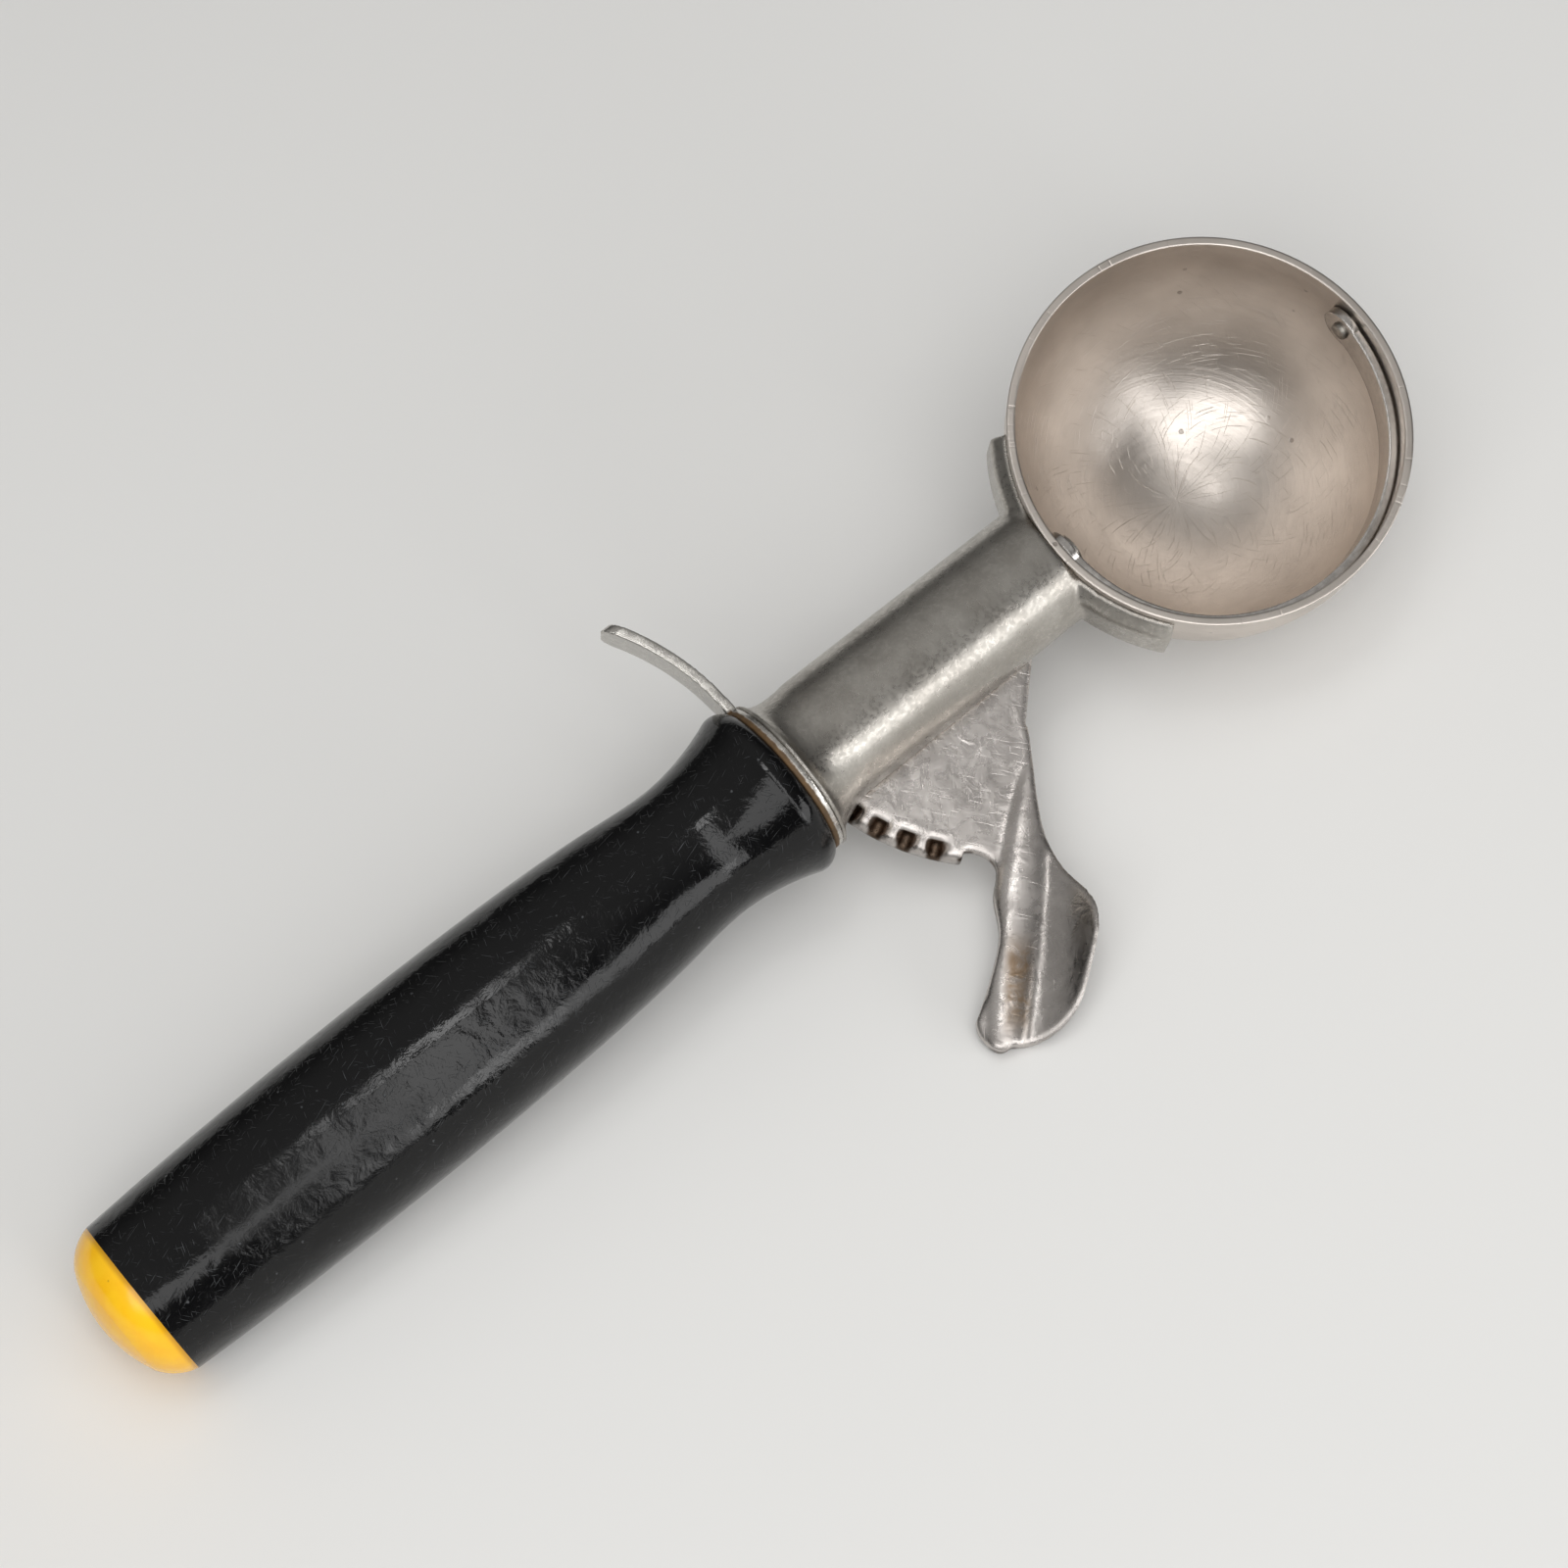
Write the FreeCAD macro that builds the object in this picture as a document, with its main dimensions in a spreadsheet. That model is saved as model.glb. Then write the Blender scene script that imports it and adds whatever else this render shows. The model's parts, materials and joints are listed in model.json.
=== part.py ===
"""Thumb-lever ice cream scoop: a spun bowl on a cast shank, a swept blade, and a lever that drives it.

The origin is the centre of the bowl's mouth, in the plane of its rim. +X runs along the handle towards
the bowl, +Z points out of the mouth, and the thumb lever stands out on the -Y side.
"""
import FreeCAD
import Part
import math
import os

V = FreeCAD.Vector
X_AXIS = V(1, 0, 0)
Y_AXIS = V(0, 1, 0)
Z_AXIS = V(0, 0, 1)
ALONG_X = FreeCAD.Rotation(Y_AXIS, 90)
ALONG_Z = FreeCAD.Rotation()

doc = FreeCAD.newDocument("LeverScoop")

# Driving dimensions, in millimetres and degrees
SIZES = {
    # bowl
    "bowl_radius": 27.0,
    "bowl_wall": 0.9,
    "lip_proud": 0.25,
    "lip_height": 1.2,
    "axis_drop": 4.6,
    # scraper blade and the pin it turns on
    "blade_clearance": 0.4,
    "blade_thickness": 1.2,
    "blade_width": 5.3,
    "blade_rest_angle": 6.0,
    "ear_radius": 3.2,
    "far_pin_radius": 1.25,
    "pin_head_radius": 2.2,
    "pin_head_height": 0.7,
    "pin_tip_length": 0.5,
    # axle and its bushes
    "axle_radius": 1.5,
    "axle_head_radius": 2.1,
    "axle_head_height": 0.6,
    "axle_head_seat": 0.1,
    "running_gap": 0.05,
    "passage_gap": 0.12,
    "bush_radius": 2.4,
    "front_bush_length": 5.0,
    "rear_bush_length": 6.0,
    "end_play": 0.3,
    # gear pair
    "tooth_module": 1.345,
    "sector_teeth": 49,
    "pinion_teeth": 9,
    "addendum": 1.06,
    "dedendum": 1.45,
    "pressure_angle": 25.0,
    "backlash": 0.3,
    "gap_relief": 0.5,
    "pinion_width": 1.8,
    "hub_radius": 3.9,
    "hub_length": 5.0,
    "cross_pin_radius": 0.8,
    # lever
    "pivot_behind_web": 5.55,
    "plate_thickness": 2.2,
    "eye_radius": 7.4,
    "lever_reach": 58.84,
    "ridge_height": 1.15,
    "ridge_half_width": 3.3,
    "ridge_half_length": 25.0,
    "ridge_skew": 3.2,
    "sector_lead": 1.8,
    "sector_tail": 5.9,
    "rim_width": 3.2,
    "rim_depth": 3.4,
    "rim_chamfer": 0.8,
    "arm_top_radius": 11.5,
    "flange_edge": 1.2,
    "flange_bend": 72.0,
    # shank casting
    "shank_half_width": 9.15,
    "shank_wall": 0.75,
    "shank_offset": 1.15,
    "shank_floor_gap": 0.6,
    "web_thickness": 5.9,
    "bridge_radius": 4.5,
    "saddle_thickness": 2.1,
    "saddle_half_angle": 39.0,
    "saddle_top_drop": 1.4,
    "saddle_height": 8.5,
    "saddle_slope": 2.2,
    "braze_gap": 0.05,
    "collar_radius": 11.8,
    "collar_wall": 1.15,
    "collar_edge": 0.55,
    "flare_length": 6.8,
    "flare_overlap": 0.15,
    "spigot_radius": 5.0,
    "spigot_length": 14.0,
    # pivot screw and washers
    "shoulder_radius": 2.5,
    "screw_radius": 1.75,
    "screw_roof": 0.3,
    "screw_head_radius": 4.2,
    "screw_head_height": 2.2,
    "slot_width": 1.1,
    "slot_depth": 1.0,
    "thrust_washer_thickness": 0.3,
    "head_washer_thickness": 0.4,
    "head_washer_radius": 4.6,
    "stop_pin_radius": 1.2,
    "stop_pin_grip": 4.0,
    "stop_pin_front": 7.35,
    "stop_pin_side": 5.33,
    # return spring
    "wire_radius": 0.4,
    "coil_radius": 2.9,
    "coil_turns": 15,
    "coil_standoff": 2.0,
    "leg_depth": 1.6,
    # finger rest
    "rest_thickness": 1.5,
    "rest_ring_radius": 11.55,
    "rest_width": 6.6,
    "rest_reach": 31.4,
    "rest_corner": 2.0,
    "rest_bend_radius": 36.8,
    # handle, its rod and its cap
    "pinion_end_gap": 1.25,
    "grip_length": 108.0,
    "grip_front_radius": 11.6,
    "grip_bell_radius": 12.85,
    "grip_throat_radius": 11.35,
    "grip_neck_radius": 10.42,
    "grip_rise_radius": 11.15,
    "grip_shoulder_radius": 12.13,
    "grip_belly_radius": 12.7,
    "grip_waist_radius": 12.25,
    "grip_end_radius": 11.65,
    "bell_back": 3.0,
    "throat_back": 7.8,
    "neck_back": 14.2,
    "rise_back": 24.2,
    "shoulder_back": 37.5,
    "belly_back": 67.0,
    "waist_back": 94.5,
    "rod_radius": 2.5,
    "rod_thread": 8.0,
    "nut_radius": 4.6,
    "nut_height": 3.5,
    "rod_washer_radius": 5.6,
    "rod_washer_thickness": 1.0,
    "end_bore_radius": 6.0,
    "end_bore_depth": 10.5,
    "cap_length": 6.5,
    "cap_plug_length": 3.8,
}

# Sizes and places that follow from the driving dimensions
PLACES = {
    "axis_z": "=-Sizes.axis_drop",
    "bowl_outer": "=Sizes.bowl_radius + Sizes.bowl_wall",
    "cradle_radius": "=bowl_outer + Sizes.braze_gap",
    "blade_outer": "=Sizes.bowl_radius - Sizes.blade_clearance",
    "blade_inner": "=blade_outer - Sizes.blade_thickness",
    "pinion_pitch": "=Sizes.tooth_module * Sizes.pinion_teeth / 2",
    "sector_pitch": "=Sizes.tooth_module * Sizes.sector_teeth / 2",
    "pinion_tip": "=pinion_pitch + Sizes.addendum",
    "mesh_z": "=axis_z - pinion_pitch",
    "plate_top": "=mesh_z + Sizes.addendum",
    "plate_bottom": "=plate_top - Sizes.plate_thickness",
    "web_back": "=-cradle_radius - Sizes.web_thickness",
    "pivot_x": "=web_back - Sizes.pivot_behind_web",
    "rim_outer": "=sector_pitch + Sizes.pinion_width / 2",
    "rim_inner": "=rim_outer - Sizes.rim_width",
    "pinion_front": "=pivot_x - sector_pitch + Sizes.pinion_width / 2",
    "pinion_back": "=pinion_front - Sizes.pinion_width",
    "hub_front": "=pinion_front + Sizes.hub_length",
    "cross_pin_x": "=pinion_front + Sizes.hub_length / 2",
    "shank_floor": "=plate_top + Sizes.shank_floor_gap",
    "cavity_half_width": "=Sizes.shank_half_width - Sizes.shank_wall",
    "bridge_floor": "=plate_top + Sizes.thrust_washer_thickness + Sizes.running_gap",
    "collar_front": "=pinion_back - Sizes.pinion_end_gap",
    "collar_back": "=collar_front - Sizes.collar_wall",
    "flare_back": "=collar_back + Sizes.collar_edge",
    "grip_front": "=collar_back - Sizes.rest_thickness",
    "spigot_back": "=collar_back - Sizes.spigot_length",
    "grip_back": "=grip_front - Sizes.grip_length",
    "rod_front": "=spigot_back + Sizes.rod_thread",
    "axle_back": "=collar_front - Sizes.rear_bush_length + Sizes.end_play",
    "bush_seat_back": "=collar_front - Sizes.rear_bush_length",
    "head_washer_top": "=plate_bottom - Sizes.running_gap",
    "screw_head_top": "=head_washer_top - Sizes.head_washer_thickness",
    "screw_tip": "=axis_z - Sizes.axle_radius - Sizes.passage_gap - Sizes.screw_roof",
    "coil_back": "=hub_front + Sizes.coil_standoff",
    "coil_front": "=pivot_x - Sizes.bridge_radius - Sizes.coil_standoff",
    "nut_front": "=grip_back + Sizes.end_bore_depth - Sizes.rod_washer_thickness",
    "rod_back": "=nut_front - Sizes.nut_height - 0.5",
}


def fill_sheet(name, rows):
    sheet = doc.addObject("Spreadsheet::Sheet", name)
    for row, (alias, content) in enumerate(rows.items(), start=1):
        sheet.set("A%d" % row, alias)
        sheet.set("B%d" % row, str(content))
        sheet.setAlias("B%d" % row, alias)
    doc.recompute()
    return sheet


sizes = fill_sheet("Sizes", SIZES)
places = fill_sheet("Places", PLACES)


def size(alias):
    return float(getattr(sizes, alias))


def place(alias):
    return float(getattr(places, alias))


# Building blocks whose numbers are expressions on the two sheets
def bind(obj, **expressions):
    for name, expression in expressions.items():
        obj.setExpression(name, expression)
    return obj


def put(obj, rotation, x="0", y="0", z="0"):
    obj.Placement = FreeCAD.Placement(V(0, 0, 0), rotation)
    obj.setExpression("Placement.Base.x", x)
    obj.setExpression("Placement.Base.y", y)
    obj.setExpression("Placement.Base.z", z)
    return obj


def rod(name, radius, length, x="0", y="0", z="0", rotation=ALONG_X):
    """A cylinder that starts at x, y, z and runs along +X, or along +Z with ALONG_Z."""
    obj = bind(doc.addObject("Part::Cylinder", name), Radius=radius, Height=length)
    return put(obj, rotation, x, y, z)


def ball(name, radius, z):
    obj = bind(doc.addObject("Part::Sphere", name), Radius=radius)
    return put(obj, ALONG_Z, z=z)


def block(name, length, width, height, x, y, z):
    obj = bind(doc.addObject("Part::Box", name), Length=length, Width=width, Height=height)
    return put(obj, ALONG_Z, x, y, z)


def fuse(name, *shapes):
    obj = doc.addObject("Part::MultiFuse", name)
    obj.Shapes = list(shapes)
    obj.Refine = True
    return obj


def common(name, *shapes):
    obj = doc.addObject("Part::MultiCommon", name)
    obj.Shapes = list(shapes)
    return obj


def cut(name, base, *tools):
    obj = doc.addObject("Part::Cut", name)
    obj.Base = base
    obj.Tool = tools[0] if len(tools) == 1 else fuse(name + "_tools", *tools)
    return obj


def solid(name, shape):
    """A shape that is worked out by a formula rather than by a primitive."""
    obj = doc.addObject("Part::Feature", name)
    obj.Shape = shape
    return obj


def turned(points_and_curves, axis_z):
    """A solid turned about the handle's axis from edges in the XZ plane that close on the axis."""
    wire = Part.Wire(Part.__sortEdges__(points_and_curves))
    return Part.Face(wire).revolve(V(0, 0, axis_z), X_AXIS, 360)


def line(start, end):
    return Part.LineSegment(start, end).toShape()


def arc(start, middle, end):
    return Part.Arc(start, middle, end).toShape()


def spline(points):
    curve = Part.BSplineCurve()
    curve.interpolate(points)
    return curve.toShape()


# Bowl: a hemisphere centred on the blade's axis, with a straight band above it and a lip
def make_bowl():
    outside = fuse(
        "bowl_outside",
        ball("bowl_ball", "Places.bowl_outer", "Places.axis_z"),
        rod("bowl_band", "Places.bowl_outer", "Sizes.axis_drop", z="Places.axis_z", rotation=ALONG_Z),
        rod("bowl_lip", "Places.bowl_outer + Sizes.lip_proud", "Sizes.lip_height",
            z="-Sizes.lip_height", rotation=ALONG_Z))
    above = rod("bowl_above", "2 * Sizes.bowl_radius", "Sizes.bowl_radius + 2 * Sizes.bowl_wall",
                rotation=ALONG_Z)
    hollow = ball("bowl_hollow", "Sizes.bowl_radius", "Places.axis_z")
    band_hollow = rod("bowl_band_hollow", "Sizes.bowl_radius", "2 * Sizes.axis_drop",
                      z="Places.axis_z", rotation=ALONG_Z)
    axle_hole = rod("bowl_axle_hole", "Sizes.axle_radius + Sizes.passage_gap", "Sizes.bowl_radius",
                    x="-1.5 * Sizes.bowl_radius", z="Places.axis_z")
    pin_hole = rod("bowl_pin_hole", "Sizes.far_pin_radius", "Sizes.bowl_radius",
                   x="Sizes.bowl_radius / 2", z="Places.axis_z")
    return cut("bowl", outside, above, hollow, band_hollow, axle_hole, pin_hole)


# The rivet that carries the blade's far ear
def make_far_pin():
    stem = rod("far_pin_stem", "Sizes.far_pin_radius",
               "Places.bowl_outer - Places.blade_inner + Sizes.pin_tip_length",
               x="Places.blade_inner - Sizes.pin_tip_length", z="Places.axis_z")
    head = rod("far_pin_head", "Sizes.pin_head_radius", "Sizes.pin_head_height",
               x="Places.bowl_outer", z="Places.axis_z")
    return fuse("far_pivot_pin", stem, head)


# Scraper blade: a flat band bent to a half circle, with an eye at each end
def make_blade():
    ring = cut(
        "blade_ring",
        rod("blade_ring_outside", "Places.blade_outer", "Sizes.blade_width",
            z="-Sizes.blade_width / 2", rotation=ALONG_Z),
        rod("blade_ring_inside", "Places.blade_inner", "2 * Sizes.blade_width",
            z="-Sizes.blade_width", rotation=ALONG_Z))
    near_half = block("blade_half", "4 * Sizes.bowl_radius", "2 * Sizes.bowl_radius",
                      "4 * Sizes.ear_radius", "-2 * Sizes.bowl_radius", "-2 * Sizes.bowl_radius",
                      "-2 * Sizes.ear_radius")
    band = common("blade_band", ring, near_half)
    far_ear = rod("blade_far_ear", "Sizes.ear_radius", "Sizes.blade_thickness", x="Places.blade_inner")
    near_ear = rod("blade_near_ear", "Sizes.ear_radius", "Sizes.blade_thickness",
                   x="-Places.blade_outer")
    far_hole = rod("blade_far_hole", "Sizes.far_pin_radius + Sizes.running_gap", "Sizes.bowl_radius",
                   x="Sizes.bowl_radius / 2")
    near_hole = rod("blade_near_hole", "Sizes.axle_radius", "Sizes.bowl_radius",
                    x="-1.5 * Sizes.bowl_radius")
    blade = cut("scraper_blade", fuse("blade_blank", band, far_ear, near_ear), far_hole, near_hole)
    blade.setExpression("Placement.Base.z", "Places.axis_z")
    blade.setExpression("Placement.Rotation.Angle", "Sizes.blade_rest_angle")
    blade.Placement.Rotation.Axis = X_AXIS
    return blade


# Axle, riveted over inside the blade's near ear
def make_axle():
    stem = rod("axle_stem", "Sizes.axle_radius",
               "-Places.blade_inner - Places.axle_back + Sizes.axle_head_seat",
               x="Places.axle_back", z="Places.axis_z")
    head = rod("axle_head", "Sizes.axle_head_radius", "Sizes.axle_head_height",
               x="-Places.blade_inner + Sizes.axle_head_seat", z="Places.axis_z")
    pin_hole = rod("axle_pin_hole", "Sizes.cross_pin_radius", "2 * Sizes.hub_radius",
                   x="Places.cross_pin_x", z="Places.axis_z - Sizes.hub_radius", rotation=ALONG_Z)
    return cut("axle", fuse("axle_blank", stem, head), pin_hole)


def make_bush(name, x, length):
    outside = rod(name + "_outside", "Sizes.bush_radius", length, x=x, z="Places.axis_z")
    bore = rod(name + "_bore", "Sizes.axle_radius + Sizes.running_gap", length, x=x, z="Places.axis_z")
    return cut(name, outside, bore)


# Pinion: involute teeth drawn as one arc a flank, on a hub that faces the bowl
def involute_point(base_radius, radius, tooth_angle):
    """A point of the flank at this radius, with the tooth's middle along -Z."""
    roll = math.sqrt((radius / base_radius) ** 2 - 1)
    spread = tooth_angle - (roll - math.atan(roll))
    return V(0, radius * math.sin(spread), -radius * math.cos(spread))


def pinion_profile():
    pitch = place("pinion_pitch")
    tip = place("pinion_tip")
    root = pitch - size("dedendum")
    pressure = math.radians(size("pressure_angle"))
    base = pitch * math.cos(pressure)
    half_tooth = (math.pi * size("tooth_module") - size("backlash")) / (4 * pitch)
    tooth_angle = half_tooth + math.tan(pressure) - pressure
    low = involute_point(base, base, tooth_angle)
    middle = involute_point(base, (base + tip) / 2, tooth_angle)
    high = involute_point(base, tip, tooth_angle)
    foot = V(0, low.y, low.z) * (root / base)
    teeth = int(size("pinion_teeth"))
    gap_angle = 2 * math.pi / teeth - 2 * math.atan2(foot.y, -foot.z)
    edges = []
    for tooth in range(teeth):
        turn = FreeCAD.Rotation(X_AXIS, tooth * 360.0 / teeth)

        def left(point):
            return turn.multVec(V(0, -point.y, point.z))

        def right(point):
            return turn.multVec(point)

        edges.append(line(left(foot), left(low)))
        edges.append(arc(left(low), left(middle), left(high)))
        edges.append(arc(left(high), turn.multVec(V(0, 0, -tip)), right(high)))
        edges.append(arc(right(high), right(middle), right(low)))
        edges.append(line(right(low), right(foot)))
        half_gap = FreeCAD.Rotation(X_AXIS, math.degrees(gap_angle / 2))
        full_gap = FreeCAD.Rotation(X_AXIS, math.degrees(gap_angle))
        edges.append(arc(right(foot), half_gap.multVec(right(foot)), full_gap.multVec(right(foot))))
    return Part.Face(Part.Wire(edges))


def make_pinion():
    teeth = solid("pinion_teeth_blank", pinion_profile().extrude(V(size("pinion_width"), 0, 0)))
    put(teeth, ALONG_Z, x="Places.pinion_back", z="Places.axis_z")
    hub = rod("pinion_hub", "Sizes.hub_radius", "Sizes.hub_length", x="Places.pinion_front",
              z="Places.axis_z")
    bore = rod("pinion_bore", "Sizes.axle_radius", "2 * (Sizes.hub_length + Sizes.pinion_width)",
               x="Places.pinion_back - 1", z="Places.axis_z")
    pin_hole = rod("pinion_pin_hole", "Sizes.cross_pin_radius", "2 * Sizes.hub_radius",
                   x="Places.cross_pin_x", z="Places.axis_z - Sizes.hub_radius", rotation=ALONG_Z)
    leg_hole = rod("pinion_leg_hole", "Sizes.wire_radius", "Sizes.leg_depth",
                   x="Places.hub_front - Sizes.leg_depth", y="Sizes.coil_radius", z="Places.axis_z")
    return cut("pinion", fuse("pinion_blank", teeth, hub), bore, pin_hole, leg_hole)


def make_cross_pin():
    pin = rod("pinion_pin_rod", "Sizes.cross_pin_radius", "2 * Sizes.hub_radius",
              x="Places.cross_pin_x", z="Places.axis_z - Sizes.hub_radius", rotation=ALONG_Z)
    hub = rod("pinion_pin_limit", "Sizes.hub_radius", "Sizes.hub_length", x="Places.pinion_front",
              z="Places.axis_z")
    return common("pinion_pin", pin, hub)


# Shank: an arched channel that rises from the bowl's rim to the collar
# How far above the channel's open side the crown is centred, where the shank meets the bowl
CROWN_STEP = 0.2


def crown_height(x):
    """The height of the centre of the arch's crown, which falls evenly from the collar to the bowl."""
    bowl_end = place("shank_floor") + CROWN_STEP
    fall = (bowl_end - place("axis_z")) / (-size("bowl_radius") - place("collar_front"))
    return place("axis_z") + fall * (x - place("collar_front"))


def arch(x, half_width, floor, middle):
    crown_centre = crown_height(x)
    left = V(x, middle + half_width, crown_centre)
    right = V(x, middle - half_width, crown_centre)
    top = V(x, middle, crown_centre + half_width)
    left_foot = V(x, middle + half_width, floor)
    right_foot = V(x, middle - half_width, floor)
    return Part.Wire([
        line(right_foot, left_foot),
        line(left_foot, left),
        arc(left, top, right),
        line(right, right_foot)])


# Sections in the quarter turn of the flare's hollow fillet
FLARE_STEPS = 12


def shank_outside():
    """Arches from the collar's edge, down the hollow fillet of its flare, and on to the bowl."""
    floor = place("shank_floor")
    high = size("collar_radius") - size("flare_overlap")
    swell = high - size("shank_half_width")
    sections = []
    for step in range(FLARE_STEPS + 1):
        turn = math.pi / 2 * step / FLARE_STEPS
        x = place("flare_back") + size("flare_length") * (1 - math.cos(turn))
        middle = size("shank_offset") * (1 - math.cos(turn))
        sections.append(arch(x, high - swell * math.sin(turn), floor, middle))
    sections.append(arch(-size("bowl_radius"), size("shank_half_width"), floor, size("shank_offset")))
    return Part.makeLoft(sections, True, True)


def shank_inside():
    floor = place("shank_floor") - 1
    ends = [place("collar_front"), -size("bowl_radius")]
    sections = [arch(x, place("cavity_half_width"), floor, size("shank_offset")) for x in ends]
    return Part.makeLoft(sections, True, True)


def saddle_wedge():
    """The slice of the bowl's surroundings that the two wings of the saddle fill."""
    reach = 2 * size("bowl_radius")
    angle = math.radians(size("saddle_half_angle"))
    top = -size("saddle_top_drop")
    corner = V(-reach * math.cos(angle), reach * math.sin(angle), top)
    other = V(corner.x, -corner.y, top)
    face = Part.Face(Part.makePolygon([V(0, 0, top), corner, other, V(0, 0, top)]))
    return face.extrude(V(0, 0, -size("saddle_height")))


def make_shank():
    round_limit = rod("round_limit", "Sizes.collar_radius", "-Places.flare_back", x="Places.flare_back",
                      z="Places.axis_z")
    outside = common("channel_outside", solid("channel_arches", shank_outside()), round_limit)
    inside = solid("channel_inside", shank_inside())
    channel = cut("channel", outside, inside)
    web_block = block("web_block", "Sizes.web_thickness + Sizes.bowl_radius", "4 * Sizes.bowl_radius",
                      "4 * Sizes.bowl_radius", "Places.web_back", "-2 * Sizes.bowl_radius",
                      "Places.shank_floor")
    web = common("front_web", outside, web_block)
    bridge_rod = rod("bridge_rod", "Sizes.bridge_radius", "2 * Sizes.shank_half_width",
                     x="Places.pivot_x", z="Places.shank_floor", rotation=ALONG_Z)
    bridge = common("bridge", bridge_rod, outside)
    bridge_foot = rod("bridge_foot", "Sizes.bridge_radius", "Places.shank_floor - Places.bridge_floor + 1",
                      x="Places.pivot_x", z="Places.bridge_floor", rotation=ALONG_Z)
    saddle_wall = rod("saddle_wall", "Places.cradle_radius + Sizes.saddle_thickness",
                      "2 * Sizes.bowl_radius - Sizes.saddle_top_drop - Sizes.saddle_slope",
                      z="-2 * Sizes.bowl_radius", rotation=ALONG_Z)
    saddle_shoulder = bind(doc.addObject("Part::Cone", "saddle_shoulder"),
                           Radius1="Places.cradle_radius + Sizes.saddle_thickness",
                           Radius2="Places.cradle_radius + Sizes.lip_proud",
                           Height="Sizes.saddle_slope")
    put(saddle_shoulder, ALONG_Z, z="-Sizes.saddle_top_drop - Sizes.saddle_slope")
    saddle = common("saddle", fuse("saddle_rod", saddle_wall, saddle_shoulder),
                    solid("saddle_slice", saddle_wedge()))
    collar = rod("collar", "Sizes.collar_radius", "Sizes.collar_edge", x="Places.collar_back",
                 z="Places.axis_z")
    spigot = rod("spigot", "Sizes.spigot_radius", "Sizes.spigot_length", x="Places.spigot_back",
                 z="Places.axis_z")
    body = fuse("shank_body", channel, web, bridge, bridge_foot, saddle, collar, spigot)
    bowl_space = fuse(
        "bowl_space",
        ball("bowl_space_ball", "Places.cradle_radius", "Places.axis_z"),
        rod("bowl_space_band", "Places.cradle_radius", "3 * Sizes.axis_drop", z="Places.axis_z",
            rotation=ALONG_Z),
        rod("bowl_space_lip", "Places.cradle_radius + Sizes.lip_proud", "3 * Sizes.axis_drop",
            z="-Sizes.lip_height - Sizes.braze_gap", rotation=ALONG_Z))
    tunnel = rod("axle_tunnel", "Sizes.axle_radius + Sizes.passage_gap",
                 "Sizes.bowl_radius - Places.pivot_x", x="Places.pivot_x - 2 * Sizes.bridge_radius",
                 z="Places.axis_z")
    front_seat = rod("front_bush_seat", "Sizes.bush_radius", "Sizes.front_bush_length",
                     x="Places.web_back", z="Places.axis_z")
    rear_seat = rod("rear_bush_seat", "Sizes.bush_radius", "Sizes.rear_bush_length",
                    x="Places.bush_seat_back", z="Places.axis_z")
    rod_thread = rod("rod_thread_hole", "Sizes.rod_radius", "Sizes.rod_thread",
                     x="Places.spigot_back", z="Places.axis_z")
    screw_hole = rod("screw_hole", "Sizes.screw_radius", "Places.screw_tip - Places.bridge_floor",
                     x="Places.pivot_x", z="Places.bridge_floor", rotation=ALONG_Z)
    leg_hole = rod("shank_leg_hole", "Sizes.wire_radius", "Sizes.leg_depth + Sizes.bridge_radius",
                   x="Places.pivot_x - 1.5 * Sizes.bridge_radius", y="Sizes.coil_radius",
                   z="Places.axis_z")
    stop_hole = rod("stop_pin_hole", "Sizes.stop_pin_radius", "Sizes.stop_pin_grip",
                    x=STOP_X, y=STOP_Y, z="Places.shank_floor", rotation=ALONG_Z)
    return cut("shank", body, bowl_space, tunnel, front_seat, rear_seat, rod_thread, screw_hole,
               leg_hole, stop_hole)


# The dowel that the lever's eye leans on at rest
STOP_X = "Places.pivot_x + Sizes.stop_pin_front"
STOP_Y = "-Sizes.stop_pin_side"


def make_stop_pin():
    return rod("stop_pin", "Sizes.stop_pin_radius",
               "Sizes.stop_pin_grip + Places.shank_floor - Places.plate_bottom",
               x=STOP_X, y=STOP_Y, z="Places.plate_bottom", rotation=ALONG_Z)


# Pivot screw from below, with a washer each side of the lever's eye
def make_pivot_screw():
    head = rod("screw_head", "Sizes.screw_head_radius", "Sizes.screw_head_height", x="Places.pivot_x",
               z="Places.screw_head_top - Sizes.screw_head_height", rotation=ALONG_Z)
    shoulder = rod("screw_shoulder", "Sizes.shoulder_radius",
                   "Places.bridge_floor - Places.screw_head_top", x="Places.pivot_x",
                   z="Places.screw_head_top", rotation=ALONG_Z)
    thread = rod("screw_thread", "Sizes.screw_radius", "Places.screw_tip - Places.screw_head_top",
                 x="Places.pivot_x", z="Places.screw_head_top", rotation=ALONG_Z)
    slot = block("screw_slot", "4 * Sizes.screw_head_radius", "Sizes.slot_width", "2 * Sizes.slot_depth",
                 "Places.pivot_x - 2 * Sizes.screw_head_radius", "-Sizes.slot_width / 2",
                 "Places.screw_head_top - Sizes.screw_head_height - Sizes.slot_depth")
    return cut("pivot_screw", fuse("screw_blank", head, shoulder, thread), slot)


def make_washer(name, outer, inner, thickness, z):
    disc = rod(name + "_disc", outer, thickness, x="Places.pivot_x", z=z, rotation=ALONG_Z)
    hole = rod(name + "_hole", inner, thickness, x="Places.pivot_x", z=z, rotation=ALONG_Z)
    return cut(name, disc, hole)


# Lever: a plate with a toothed rim, and an arm whose outer side curls up to a thumb flange
# Its outline is given in shares of the lever's reach, towards the bowl and towards the finger rest
def from_pivot(forward, aside):
    reach = size("lever_reach")
    return V(place("pivot_x") + forward * reach, aside * reach, 0)


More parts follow.
